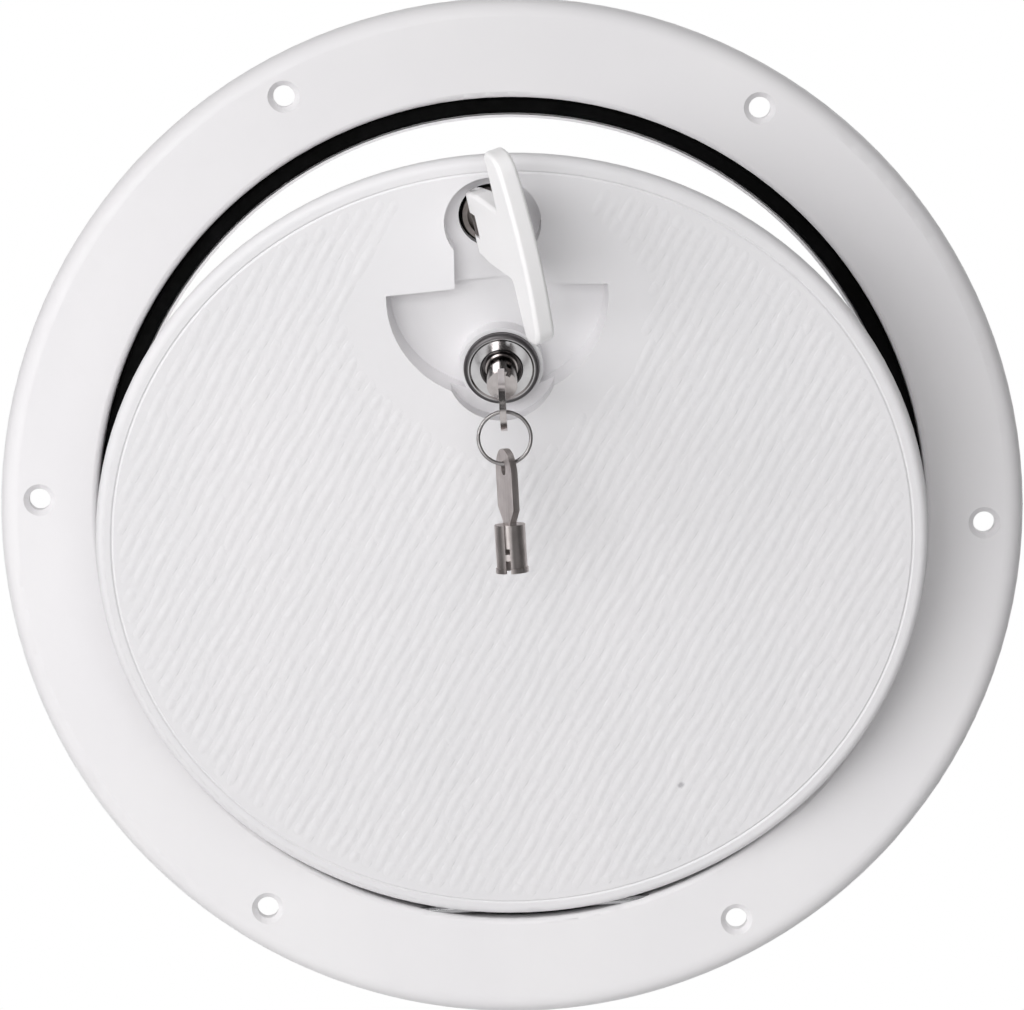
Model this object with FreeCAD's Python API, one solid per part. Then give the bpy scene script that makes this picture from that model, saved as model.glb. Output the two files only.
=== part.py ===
import FreeCAD, Part
import math
import os

os.makedirs("parts", exist_ok=True)

# Deck inspection plate: a flange ring with a collar, a hinged round lid, a turn
# handle that folds, a latch under the lid and a tubular key lock with two keys.
# Everything is drawn lying flat with the lid shut: x across, y from hinge to
# latch, z out of the deck, deck face at z = 0. Each piece is then turned to its
# place in the rest pose, and last the whole plate is stood upright.
# All sizes are in millimetres, angles in degrees.

V = FreeCAD.Vector
X_AXIS = V(1, 0, 0)
Y_AXIS = V(0, 1, 0)
Z_AXIS = V(0, 0, 1)
ORIGIN = V(0, 0, 0)

# rest pose
LID_OPEN = 16.8
HANDLE_TURN = 99.0
HANDLE_RAISED = 68.0
STAND_UP = 90.0

# flange ring
RING_R = 130.0
TOP = 5.0
RIM_ROUND = 4.5
FLANGE_W = 24.8
BORE_R = RING_R - FLANGE_W
BORE_ROUND = 1.5
LEDGE_DEPTH = 8.0
LEDGE_T = 3.0
LEDGE_W = 5.4
LIP_R = BORE_R - LEDGE_W
LIP_T = 0.7
LIP_DEPTH = 5.2
COLLAR_STEP = 3.8
COLLAR_R = BORE_R + COLLAR_STEP
COLLAR_T = 3.0
COLLAR_LONG = 25.0
COLLAR_CHAMFER = 1.0
GUSSET_COUNT = 12
GUSSET_T = 2.0
GUSSET_HIGH = 9.0

# screw holes through the flange
HOLE_COUNT = 6
HOLE_INSET = 10.0
HOLE_CIRCLE_R = RING_R - HOLE_INSET
HOLE_START = -4.7
HOLE_R = 2.75
SINK_R = 4.05
SINK_DEPTH = SINK_R - HOLE_R

# hollow under the flange
CORE_WALL = 3.0
CORE_IN_R = COLLAR_R + CORE_WALL
CORE_OUT_R = RING_R - CORE_WALL - 0.5
CORE_DEPTH = 2.4
PAD_R = 7.0
CORE_RIB_T = 2.0
CORE_RIBS_PER_HOLE = 2

# rubber seal on the ledge
SEAL_GAP = 0.4
SEAL_IN_R = LIP_R + LIP_T + SEAL_GAP
SEAL_OUT_R = BORE_R - 0.2
SEAL_DEPTH = 4.9
SEAL_ROUND = 0.9

# lid
LID_RUN = 1.2
LID_R = BORE_R - LID_RUN
LID_T = 4.5
LID_EDGE = LID_T / 2
BORDER_INSET = 4.0
BORDER_R = LID_R - BORDER_INSET
BORDER_W = 0.9
BORDER_DEPTH = 0.25
SPIGOT_RUN = 2.8
SPIGOT_R = LIP_R - SPIGOT_RUN
SPIGOT_T = 2.5
SPIGOT_DEPTH = 10.0
LID_RIB_T = 1.8
LID_RIB_DEPTH = 8.5
LID_RIB_COUNT = 12
LID_HOOP_R = 22.0

# hinge at the bottom of the lid
PIN_INSET = 2.0
PIN_DEPTH = 1.9
PIN_R = 1.0
PIN_RUN = 0.1
PIN_FIT = 0.01
PIN_NEAR = 6.0
PIN_FAR = 34.0
PIN_HELD = 14.0
PIN_END_RUN = 0.3
GROOVE_FAR = PIN_FAR + 2.0
PIN_SLOT_W = 1.7
HINGE = V(0, PIN_INSET - LID_R, TOP - PIN_DEPTH)

# hub of the handle and its socket
HUB_INSET = 17.2
HUB_Y = LID_R - HUB_INSET
HUB = V(0, HUB_Y, TOP)
SOCKET_R = 11.9
SOCKET_DEPTH = 5.3
SOCKET_WALL = 1.0
NECK_HALF = 10.3
NECK_TOP_HALF = 9.6
STEM_BORE_R = 8.3
STEM_BORE_DEPTH = 8.9
HUB_BOSS_R = 10.4
HUB_BOSS_DEPTH = 10.6

# finger bowl
BOWL_FROM_HUB = 19.8
BOWL_Y = HUB_Y - BOWL_FROM_HUB
BOWL_R = 27.3
BOWL_DRAFT = 0.9
BOWL_DEPTH = 6.5
BOWL_TOP_RISE = 3.0
BOWL_TOP_Y = BOWL_Y + BOWL_TOP_RISE
BOWL_TOP_SLOPE = 3.0
PAN_WALL = 2.0
PAN_DEPTH = 8.8

# seat of the lock
LOCK_FROM_HUB = 39.0
LOCK_Y = HUB_Y - LOCK_FROM_HUB
LOBE_R = 13.6
LOBE_DEPTH = 4.2
LOCK_BOSS_R = 10.3
LOCK_SEAT_DEPTH = 2.0

# handle
GRIP_T = 5.0
GRIP_PIN_BACK = 2.5
GRIP_PIN_DEPTH = GRIP_T / 2
GRIP_TAIL_HALF = 8.4
GRIP_NECK_HALF = 9.3
GRIP_NECK_FROM = 3.0
GRIP_BAR_NEAR = 17.3
GRIP_BAR_FAR = 28.7
GRIP_BOW = 3.4
GRIP_BAR_HALF = 25.3
GRIP_CORNER = 2.0
GRIP_FAR_CORNER = 5.6
GRIP_SHOULDER = 1.0
GRIP_EDGE = 1.1
FORK_GAP = 0.3
FORK_REACH = 2.7
GRIP_AXIS = V(0, HUB_Y + GRIP_PIN_BACK, TOP - GRIP_PIN_DEPTH)

# rotor, the piece that carries the handle through the lid
ROTOR_R = 7.3
ROTOR_TOP = 5.4
ROTOR_BOTTOM = 8.7
ROTOR_RIM = 1.2
ROTOR_POCKET = 7.5
LUG_HALF = 2.9
LUG_R = 2.3
STEM_R = 4.0
STEM_BOTTOM = 11.35
SQUARE = 5.6
SQUARE_BOTTOM = 13.8
HINGE_ROD_R = 1.25
HINGE_ROD_HALF = 7.6
ROD_RUN = 0.08

# seal and washer on the rotor
O_RING_R = 0.47
O_RING_DEPTH = 7.4
SPRING_R = 7.0
SPRING_T = 0.5
SPRING_DEPTH = 10.7

# latch arm
ARM_TOP = 11.4
ARM_T = 2.5
ARM_REACH = 17.6
ARM_HALF = 6.0
ARM_HUB_R = 8.5
ARM_SQUARE_GAP = 0.1
STOP_FAR = 16.0
STOP_OUT = 12.3
STOP_IN = 5.3
STOP_TAB = 5.0
STOP_BOTTOM = 18.6

# screws and washers under the lid
LATCH_WASHER_R = 6.0
LATCH_WASHER_T = 1.0
LATCH_SCREW_R = 1.65
LATCH_HEAD_R = 4.0
LATCH_HEAD_T = 2.4
LATCH_SCREW_TOP = 7.9
SCREW_RUN = 0.05
SLOT_W = 1.0
SLOT_DEEP = 1.0

# lock
BEZEL_R = 9.4
BEZEL_T = 1.4
BEZEL_EDGE = 1.1
BEZEL_DISH_R = 8.1
BEZEL_DISH = 0.3
BODY_R = 8.0
BODY_FLAT = 6.9
BODY_BOTTOM = 16.0
BODY_RUN = 0.1
LOCK_SEAL_IN_R = 8.3
LOCK_SEAL_OUT_R = 9.3
LOCK_SEAL_T = 0.55
NUT_ACROSS = 21.0
NUT_T = 4.0
NUT_GAP = 0.05

# plug of the lock
PLUG_R = 5.2
PLUG_RUN = 0.15
PLUG_PROUD = 0.2
PLUG_EDGE = 0.15
PLUG_BOTTOM = 15.9
KEYWAY_OUT_R = 4.9
KEYWAY_IN_R = 2.55
KEYWAY_DEEP = 2.8
PLUG_SQUARE = 5.0
PLUG_SQUARE_BOTTOM = 18.35

# cam of the lock
CAM_TOP = 16.2
CAM_T = 2.0
CAM_REACH = 26.0
CAM_HALF = 5.0
CAM_HUB_R = 7.5
CAM_WASHER_R = 5.5
CAM_WASHER_TOP = 18.4
CAM_WASHER_T = 0.8
CAM_SCREW_R = 1.25
CAM_HEAD_R = 3.6
CAM_HEAD_T = 2.2
CAM_SCREW_TOP = 13.0

# keys
TUBE_R = 3.75
TUBE_BORE_R = 2.85
TUBE_LONG = 11.8
TUBE_BACK = 5.8
TUBE_GROOVE_W = 1.2
TUBE_GROOVE_LONG = 7.0
TUBE_GROOVE_DEEP = 1.0
TUBE_GROOVE_TURN = -31.5
FLARE_R = 4.0
FLARE_LONG = 1.2
TUBE_SLOT_W = 1.3
TUBE_SLOT_LONG = 3.2
BOW_W = 12.5
BOW_T = 1.6
BOW_ROOT_W = 5.9
BOW_SHOULDER = 5.0
KEY_LONG = 30.4
BOW_HOLE_R = 1.75
BOW_HOLE_FROM_END = 4.75
KEY_TIP_DEPTH = 1.9

# key ring and the spare key that hangs from it
KEY_RING_R = 6.4
KEY_WIRE_R = 0.5
HANG_GAP = 0.3
SPARE_TURN = 18.0


def at(depth):
    """Height of a level given as a depth below the shut lid's face."""
    return TOP - depth


def cyl(radius, low, high, x=0.0, y=0.0):
    """Upright round bar between two heights."""
    return Part.makeCylinder(radius, high - low, V(x, y, low))


def tube(inner, outer, low, high, x=0.0, y=0.0):
    """Upright round sleeve."""
    slack = 1.0
    core = cyl(inner, low - slack, high + slack, x, y)
    return cyl(outer, low, high, x, y).cut(core)


def block(x0, x1, y0, y1, z0, z1):
    """Box between two corners."""
    return Part.makeBox(x1 - x0, y1 - y0, z1 - z0, V(x0, y0, z0))


def spin(shape, degrees, centre=ORIGIN, axis=Z_AXIS):
    """Copy of a shape turned about a line."""
    turned = shape.copy()
    turned.rotate(centre, axis, degrees)
    return turned


def lathe(points):
    """Solid of revolution about z from a closed outline of line and arc points."""
    edges = []
    last = points[0]
    for entry in points[1:] + [points[0]]:
        here = entry[-2:]
        start = V(last[0], 0, last[1])
        end = V(here[0], 0, here[1])
        if len(entry) == 4:
            middle = V(entry[0], 0, entry[1])
            edges.append(Part.Arc(start, middle, end).toShape())
        else:
            edges.append(Part.LineSegment(start, end).toShape())
        last = here
    face = Part.Face(Part.Wire(edges))
    return face.revolve(ORIGIN, Z_AXIS, 360)


def corner(centre_r, centre_z, radius, degrees):
    """Point of a rounded corner."""
    angle = math.radians(degrees)
    return (centre_r + radius * math.cos(angle), centre_z + radius * math.sin(angle))


def with_lid(shape):
    """A piece drawn with the lid shut, carried to the open lid."""
    return spin(shape, LID_OPEN, HINGE, X_AXIS)


def with_rotor(shape):
    """A piece drawn with the handle stowed, carried by the turned rotor."""
    return with_lid(spin(shape, HANDLE_TURN, HUB, Z_AXIS))


def with_handle(shape):
    """A piece drawn with the handle lying in its recess, raised and turned."""
    return with_rotor(spin(shape, -HANDLE_RAISED, GRIP_AXIS, X_AXIS))


def export(shape, node):
    """Stand the piece upright with the whole plate and write it."""
    upright = spin(shape, STAND_UP, ORIGIN, X_AXIS)
    upright.exportStep("parts/" + node + ".step")


def screw_spots():
    """Angles of the screw holes."""
    return [HOLE_START + 360.0 / HOLE_COUNT * i for i in range(HOLE_COUNT)]


def flange_core():
    """Hollow under the flange, with pads round the screws and ribs between."""
    core = tube(CORE_IN_R, CORE_OUT_R, -1.0, CORE_DEPTH)
    keep = []
    for angle in screw_spots():
        pad = cyl(PAD_R, -2.0, CORE_DEPTH + 1, HOLE_CIRCLE_R, 0)
        keep.append(spin(pad, angle))
        for step in range(CORE_RIBS_PER_HOLE):
            share = 360.0 / HOLE_COUNT / (CORE_RIBS_PER_HOLE + 1) * (step + 1)
            rib = block(CORE_IN_R - 2, CORE_OUT_R + 2, -CORE_RIB_T / 2, CORE_RIB_T / 2,
                        -2.0, CORE_DEPTH + 1)
            keep.append(spin(rib, angle + share))
    return core.cut(keep)


def ledge_gussets():
    """Small webs under the ledge that carries the seal."""
    high = TOP - LEDGE_DEPTH - LEDGE_T
    wall = COLLAR_R - COLLAR_T
    points = [V(LIP_R + 1.2, 0, high + 0.5), V(wall + 0.5, 0, high + 0.5),
              V(wall + 0.5, 0, high - GUSSET_HIGH), V(wall, 0, high - GUSSET_HIGH),
              V(LIP_R + 1.2, 0, high - 1.0)]
    face = Part.Face(Part.makePolygon(points + [points[0]]))
    web = face.extrude(V(0, GUSSET_T, 0))
    web.translate(V(0, -GUSSET_T / 2, 0))
    step = 360.0 / GUSSET_COUNT
    return [spin(web, step * (i + 0.5)) for i in range(GUSSET_COUNT)]


def hinge_pin(side):
    """One hinge pin, side +1 to the right and -1 to the left."""
    start = V(side * PIN_NEAR, HINGE.y, HINGE.z)
    pin = Part.makeCylinder(PIN_R, PIN_FAR - PIN_NEAR, start, V(side, 0, 0))
    ends = [e for e in pin.Edges if len(e.Vertexes) == 1 and abs(e.Curve.Radius - PIN_R) < 0.01]
    return pin.makeChamfer(0.25, ends)


def deck_ring():
    """Flange, ledge for the seal, inner lip and collar in one piece."""
    ledge_top = TOP - LEDGE_DEPTH
    ledge_low = ledge_top - LEDGE_T
    rim_in = RING_R - RIM_ROUND
    rim_low = TOP - RIM_ROUND
    rim_mid = corner(rim_in, rim_low, RIM_ROUND, 45)
    bore_mid = corner(BORE_R + BORE_ROUND, TOP - BORE_ROUND, BORE_ROUND, 135)
    lip_top = TOP - LIP_DEPTH
    body = lathe([
        (RING_R, 0.0),
        (RING_R, rim_low),
        rim_mid + (rim_in, TOP),
        (BORE_R + BORE_ROUND, TOP),
        bore_mid + (BORE_R, TOP - BORE_ROUND),
        (BORE_R, ledge_top),
        (LIP_R + LIP_T, ledge_top),
        (LIP_R + LIP_T, lip_top),
        (LIP_R, lip_top),
        (LIP_R, ledge_low),
        (COLLAR_R - COLLAR_T, ledge_low),
        (COLLAR_R - COLLAR_T, -COLLAR_LONG),
        (COLLAR_R - COLLAR_CHAMFER, -COLLAR_LONG),
        (COLLAR_R, COLLAR_CHAMFER - COLLAR_LONG),
        (COLLAR_R, 0.0),
    ])
    body = body.fuse(ledge_gussets())
    cuts = [flange_core()]
    for angle in screw_spots():
        hole = cyl(HOLE_R, -1.0, TOP + 1, HOLE_CIRCLE_R, 0)
        sink = Part.makeCone(HOLE_R, SINK_R + 0.5, SINK_DEPTH + 0.5,
                             V(HOLE_CIRCLE_R, 0, TOP - SINK_DEPTH))
        cuts.append(spin(hole.fuse(sink), angle))
    for side in (-1, 1):
        start = V(side * (PIN_FAR - PIN_HELD), HINGE.y, HINGE.z)
        cuts.append(Part.makeCylinder(PIN_R + PIN_FIT, PIN_HELD + 0.1, start, V(side, 0, 0)))
    return body.cut(cuts).removeSplitter()


def ring_gasket():
    """Rubber seal lying on the ledge."""
    low = TOP - LEDGE_DEPTH
    high = at(SEAL_DEPTH)
    out_mid = corner(SEAL_OUT_R - SEAL_ROUND, high - SEAL_ROUND, SEAL_ROUND, 45)
    in_mid = corner(SEAL_IN_R + SEAL_ROUND, high - SEAL_ROUND, SEAL_ROUND, 135)
    return lathe([
        (SEAL_OUT_R, low),
        (SEAL_OUT_R, high - SEAL_ROUND),
        out_mid + (SEAL_OUT_R - SEAL_ROUND, high),
        (SEAL_IN_R + SEAL_ROUND, high),
        in_mid + (SEAL_IN_R, high - SEAL_ROUND),
        (SEAL_IN_R, low),
    ])


def lid_disc():
    """Round plate with a full round edge and the fine groove of its border."""
    middle = LID_R - LID_EDGE
    return lathe([
        (0.0, at(LID_T)),
        (middle, at(LID_T)),
        (LID_R, at(LID_EDGE), middle, TOP),
        (BORDER_R + BORDER_W / 2, TOP),
        (BORDER_R, TOP - BORDER_DEPTH),
        (BORDER_R - BORDER_W / 2, TOP),
        (0.0, TOP),
    ])


def beyond_bowl(margin):
    """Space past the bowl's straight top edges, which slope away from the neck."""
    slope = math.tan(math.radians(BOWL_TOP_SLOPE))
    far = 60.0
    peak = BOWL_TOP_Y + margin + NECK_HALF * slope
    side = peak - far * slope
    points = [V(0, peak, -20), V(far, side, -20), V(far, peak + far, -20),
              V(-far, peak + far, -20), V(-far, side, -20), V(0, peak, -20)]
    return Part.Face(Part.makePolygon(points)).extrude(V(0, 0, 40))


def neck_space(margin, low, high):
    """Neck between the bowl and the hub, a little narrower at the hub."""
    wide = NECK_HALF + margin
    narrow = NECK_TOP_HALF + margin
    points = [V(-wide, BOWL_Y, low), V(wide, BOWL_Y, low), V(wide, BOWL_TOP_Y, low),
              V(narrow, HUB_Y, low), V(-narrow, HUB_Y, low), V(-wide, BOWL_TOP_Y, low),
              V(-wide, BOWL_Y, low)]
    return Part.Face(Part.makePolygon(points)).extrude(V(0, 0, high - low))


def lid_underside():
    """Spigot, ribs, pan of the recess and bosses, before anything is hollowed."""
    inside = at(LID_T) + 1.0
    pieces = [tube(SPIGOT_R - SPIGOT_T, SPIGOT_R, at(SPIGOT_DEPTH), inside)]
    pieces.append(tube(LID_HOOP_R - LID_RIB_T, LID_HOOP_R, at(LID_RIB_DEPTH), inside))
    for i in range(LID_RIB_COUNT):
        rib = block(LID_HOOP_R - 1, SPIGOT_R - 1, -LID_RIB_T / 2, LID_RIB_T / 2,
                    at(LID_RIB_DEPTH), inside)
        pieces.append(spin(rib, 360.0 / LID_RIB_COUNT * i))
    low = at(PAN_DEPTH)
    bowl = cyl(BOWL_R + PAN_WALL, low, inside, 0, BOWL_Y)
    bowl = bowl.cut(beyond_bowl(PAN_WALL))
    neck = neck_space(PAN_WALL, low, inside)
    socket = cyl(SOCKET_R + PAN_WALL, low, inside, 0, HUB_Y)
    socket = socket.common(cyl(HUB_Y + SOCKET_R + SOCKET_WALL, low - 1, inside + 1))
    lobe = cyl(LOBE_R + PAN_WALL, low, inside, 0, LOCK_Y)
    boss = cyl(HUB_BOSS_R, at(HUB_BOSS_DEPTH), inside, 0, HUB_Y)
    return pieces + [bowl, neck, socket, lobe, boss]


def recess():
    """Finger bowl, neck, handle socket and the pocket round the lock."""
    slack = 1.0
    grow = BOWL_DRAFT / BOWL_DEPTH
    bowl = Part.makeCone(BOWL_R - BOWL_DRAFT, BOWL_R + grow * slack, BOWL_DEPTH + slack,
                         V(0, BOWL_Y, at(BOWL_DEPTH)))
    bowl = bowl.cut(beyond_bowl(0.0))
    neck = neck_space(0.0, at(SOCKET_DEPTH), TOP + slack)
    socket = cyl(SOCKET_R, at(SOCKET_DEPTH), TOP + slack, 0, HUB_Y)
    lobe = cyl(LOBE_R, at(LOBE_DEPTH), TOP + slack, 0, LOCK_Y)
    space = bowl.fuse([neck, socket, lobe])
    boss = cyl(LOCK_BOSS_R, at(BOWL_DEPTH) - slack, at(LOCK_SEAT_DEPTH), 0, LOCK_Y)
    return space.cut(boss).removeSplitter()


def lock_profile(low, high, gap):
    """Round bar with two flats, used for the lock body and for its hole."""
    bar = cyl(BODY_R + gap, low, high, 0, LOCK_Y)
    half = BODY_FLAT + gap
    return bar.common(block(-half, half, LOCK_Y - 20, LOCK_Y + 20, low, high))


def pin_grooves():
    """Snap-in grooves for the hinge pins, open at the lid's underside."""
    cuts = []
    near = PIN_NEAR - PIN_END_RUN
    for side in (-1, 1):
        start = V(side * near, HINGE.y, HINGE.z)
        cuts.append(Part.makeCylinder(PIN_R + PIN_RUN, GROOVE_FAR - near, start, V(side, 0, 0)))
        cuts.append(block(min(side * near, side * GROOVE_FAR), max(side * near, side * GROOVE_FAR),
                          HINGE.y - PIN_SLOT_W / 2, HINGE.y + PIN_SLOT_W / 2,
                          at(LID_T) - 1, HINGE.z))
    return cuts


def lid():
    """The whole lid, drawn shut."""
    body = lid_disc().fuse(lid_underside())
    cuts = [recess()]
    cuts.append(cyl(STEM_BORE_R, at(STEM_BORE_DEPTH), TOP, 0, HUB_Y))
    cuts.append(cyl(STEM_R + 0.1, at(HUB_BOSS_DEPTH) - 1, TOP, 0, HUB_Y))
    cuts.append(lock_profile(at(PAN_DEPTH) - 2, TOP, BODY_RUN))
    cuts = cuts + pin_grooves()
    return body.cut(cuts).removeSplitter()


def handle_outline():
    """Plan of the handle from its pin to the outer edge of the bar."""
    def spot(across, along):
        return V(across, HUB_Y - along, at(GRIP_T))
    ends = GRIP_BAR_FAR - GRIP_BOW
    right = [spot(GRIP_TAIL_HALF, -GRIP_PIN_BACK),
             spot(GRIP_NECK_HALF, GRIP_NECK_FROM),
             spot(GRIP_NECK_HALF, GRIP_BAR_NEAR),
             spot(GRIP_BAR_HALF, GRIP_BAR_NEAR),
             spot(GRIP_BAR_HALF, ends)]
    left = [V(-p.x, p.y, p.z) for p in reversed(right)]
    edges = [Part.LineSegment(a, b).toShape() for a, b in zip(right, right[1:])]
    edges.append(Part.Arc(right[-1], spot(0, GRIP_BAR_FAR), left[0]).toShape())
    edges = edges + [Part.LineSegment(a, b).toShape() for a, b in zip(left, left[1:])]
    edges.append(Part.LineSegment(left[-1], right[0]).toShape())
    return Part.Face(Part.Wire(edges))


def upright_edges(shape, across, along):
    """Upright edges of the handle at a place given across and along it."""
    found = []
    for edge in shape.Edges:
        ends = [v.Point for v in edge.Vertexes]
        if len(ends) != 2:
            continue
        straight = abs(ends[0].x - ends[1].x) + abs(ends[0].y - ends[1].y) < 0.01
        near = abs(abs(ends[0].x) - across) + abs(HUB_Y - ends[0].y - along) < 0.1
        if straight and near:
            found.append(edge)
    return found


def handle():
    """T-shaped handle lying in its recess, with a fork for the rotor's lug."""
    plate = handle_outline().extrude(V(0, 0, GRIP_T))
    ends = GRIP_BAR_FAR - GRIP_BOW
    plate = plate.makeFillet(GRIP_FAR_CORNER, upright_edges(plate, GRIP_BAR_HALF, ends))
    plate = plate.makeFillet(GRIP_CORNER, upright_edges(plate, GRIP_BAR_HALF, GRIP_BAR_NEAR))
    plate = plate.makeFillet(GRIP_SHOULDER, upright_edges(plate, GRIP_NECK_HALF, GRIP_BAR_NEAR))
    rear = HUB_Y + GRIP_PIN_BACK
    rims = []
    for edge in plate.Edges:
        box = edge.BoundBox
        if box.ZLength < 0.01 and box.YMin < rear - 0.01:
            rims.append(edge)
    plate = plate.makeFillet(GRIP_EDGE, rims)
    knuckle = Part.makeCylinder(GRIP_T / 2, 2 * GRIP_TAIL_HALF,
                                V(-GRIP_TAIL_HALF, rear, GRIP_AXIS.z), X_AXIS)
    caps = [e for e in knuckle.Edges if len(e.Vertexes) == 1]
    knuckle = knuckle.makeFillet(GRIP_EDGE - 0.1, caps)
    body = plate.fuse(knuckle)
    half = LUG_HALF + FORK_GAP
    fork = block(-half, half, rear - FORK_REACH, rear + 5, at(GRIP_T) - 1, TOP + 1)
    rod = Part.makeCylinder(HINGE_ROD_R, 4 * GRIP_TAIL_HALF,
                            V(-2 * GRIP_TAIL_HALF, rear, GRIP_AXIS.z), X_AXIS)
    return body.cut([fork, rod]).removeSplitter()


def handle_pin():
    """Rod that joins the handle to the rotor."""
    rear = HUB_Y + GRIP_PIN_BACK
    start = V(-HINGE_ROD_HALF, rear, GRIP_AXIS.z)
    return Part.makeCylinder(HINGE_ROD_R, 2 * HINGE_ROD_HALF, start, X_AXIS)


def handle_rotor():
    """Cup with a lug for the handle, round stem and square end."""
    cup = cyl(ROTOR_R, at(ROTOR_BOTTOM), at(ROTOR_TOP), 0, HUB_Y)
    cup = cup.cut(cyl(ROTOR_R - ROTOR_RIM, at(ROTOR_POCKET), TOP, 0, HUB_Y))
    rear = HUB_Y + GRIP_PIN_BACK
    lug = block(-LUG_HALF, LUG_HALF, rear - LUG_R, rear + LUG_R, at(ROTOR_POCKET) - 0.5, GRIP_AXIS.z)
    crown = Part.makeCylinder(LUG_R, 2 * LUG_HALF, V(-LUG_HALF, rear, GRIP_AXIS.z), X_AXIS)
    stem = cyl(STEM_R, at(STEM_BOTTOM), at(ROTOR_BOTTOM) + 0.5, 0, HUB_Y)
    half = SQUARE / 2
    square = block(-half, half, HUB_Y - half, HUB_Y + half, at(SQUARE_BOTTOM), at(STEM_BOTTOM) + 0.5)
    body = cup.fuse([lug, crown, stem, square])
    rod = Part.makeCylinder(HINGE_ROD_R + ROD_RUN, 30, V(-15, rear, GRIP_AXIS.z), X_AXIS)
    tapped = cyl(LATCH_SCREW_R + SCREW_RUN, at(SQUARE_BOTTOM) - 1, at(LATCH_SCREW_TOP) + 0.2, 0, HUB_Y)
    return body.cut([rod, tapped]).removeSplitter()


def rotor_o_ring():
    """Rubber ring between rotor and lid."""
    middle = (ROTOR_R + STEM_BORE_R) / 2
    return Part.makeTorus(middle, O_RING_R, V(0, HUB_Y, at(O_RING_DEPTH)), Z_AXIS)


def rotor_spring_washer():
    """Spring washer between the lid's boss and the latch arm."""
    return tube(STEM_R + 0.2, SPRING_R, at(SPRING_DEPTH + SPRING_T), at(SPRING_DEPTH), 0, HUB_Y)


def latch_arm():
    """Arm that swings under the ledge, with a bent stop for the lock's cam."""
    low = at(ARM_TOP + ARM_T)
    high = at(ARM_TOP)
    finger = block(-ARM_HALF, ARM_HALF, HUB_Y, HUB_Y + ARM_REACH, low, high)
    tips = [e for e in finger.Edges
            if e.BoundBox.ZLength > 1 and e.BoundBox.YMax > HUB_Y + ARM_REACH - 0.1]
    finger = finger.makeFillet(3.0, tips)
    hub = cyl(ARM_HUB_R, low, high, 0, HUB_Y)
    tail = block(-STOP_OUT, -STOP_IN, HUB_Y - STOP_FAR, HUB_Y, low, high)
    tab = block(-STOP_IN - ARM_T, -STOP_IN, HUB_Y - STOP_FAR, HUB_Y - STOP_FAR + STOP_TAB,
                at(STOP_BOTTOM), high)
    half = SQUARE / 2 + ARM_SQUARE_GAP
    square = block(-half, half, HUB_Y - half, HUB_Y + half, low - 1, high + 1)
    return finger.fuse([hub, tail, tab]).cut(square).removeSplitter()


def pan_screw(x, y, head_top, head_t, head_r, shank_r, shank_top):
    """Screw driven upward: plain shank, flat head with rounded rim and a slot."""
    shank = cyl(shank_r, head_top - 0.5, shank_top, x, y)
    head = cyl(head_r, head_top - head_t, head_top, x, y)
    rim = [e for e in head.Edges
           if len(e.Vertexes) == 1 and abs(e.BoundBox.ZMax - head_top + head_t) < 0.01]
    head = head.makeFillet(0.6, rim)
    slot = block(x - head_r - 1, x + head_r + 1, y - SLOT_W / 2, y + SLOT_W / 2,
                 head_top - head_t - 1, head_top - head_t + SLOT_DEEP)
    return head.fuse(shank).cut(slot)


def latch_washer():
    """Washer under the latch arm."""
    high = at(ARM_TOP + ARM_T + 0.1)
    return tube(LATCH_SCREW_R + 0.3, LATCH_WASHER_R, high - LATCH_WASHER_T, high, 0, HUB_Y)


def latch_screw():
    """Screw that holds the latch arm on the rotor."""
    high = at(ARM_TOP + ARM_T + 0.1) - LATCH_WASHER_T
    return pan_screw(0, HUB_Y, high, LATCH_HEAD_T, LATCH_HEAD_R, LATCH_SCREW_R, at(LATCH_SCREW_TOP))


def lock_body():
    """Bezel and threaded barrel of the lock with its two flats."""
    bezel = cyl(BEZEL_R, at(BEZEL_T), TOP, 0, LOCK_Y)
    rim = [e for e in bezel.Edges if len(e.Vertexes) == 1 and e.BoundBox.ZMin > TOP - 0.1]
    bezel = bezel.makeFillet(BEZEL_EDGE, rim)
    barrel = lock_profile(at(BODY_BOTTOM), at(BEZEL_T) + 0.5, 0.0)
    body = bezel.fuse(barrel)
    dish = Part.makeCone(BEZEL_DISH_R - 0.5, BEZEL_DISH_R, BEZEL_DISH + 0.01,
                         V(0, LOCK_Y, at(BEZEL_DISH)))
    bore = cyl(PLUG_R + PLUG_RUN, at(BODY_BOTTOM) - 1, TOP + 1, 0, LOCK_Y)
    return body.cut([dish, bore]).removeSplitter()


def lock_gasket():
    """Thin rubber ring under the bezel."""
    high = at(BEZEL_T) - 0.03
    return tube(LOCK_SEAL_IN_R, LOCK_SEAL_OUT_R, high - LOCK_SEAL_T, high, 0, LOCK_Y)


def lock_nut():
    """Flat hexagon nut that clamps the lock body under the lid."""
    high = at(PAN_DEPTH) - NUT_GAP
    ring_r = NUT_ACROSS / 2 / math.cos(math.radians(30))
    points = []
    for i in range(6):
        angle = math.radians(60 * i)
        points.append(V(ring_r * math.cos(angle), LOCK_Y + ring_r * math.sin(angle), high - NUT_T))
    face = Part.Face(Part.makePolygon(points + [points[0]]))
    body = face.extrude(V(0, 0, NUT_T))
    return body.cut(cyl(BODY_R + 0.05, high - NUT_T - 1, high + 1, 0, LOCK_Y))


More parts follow.
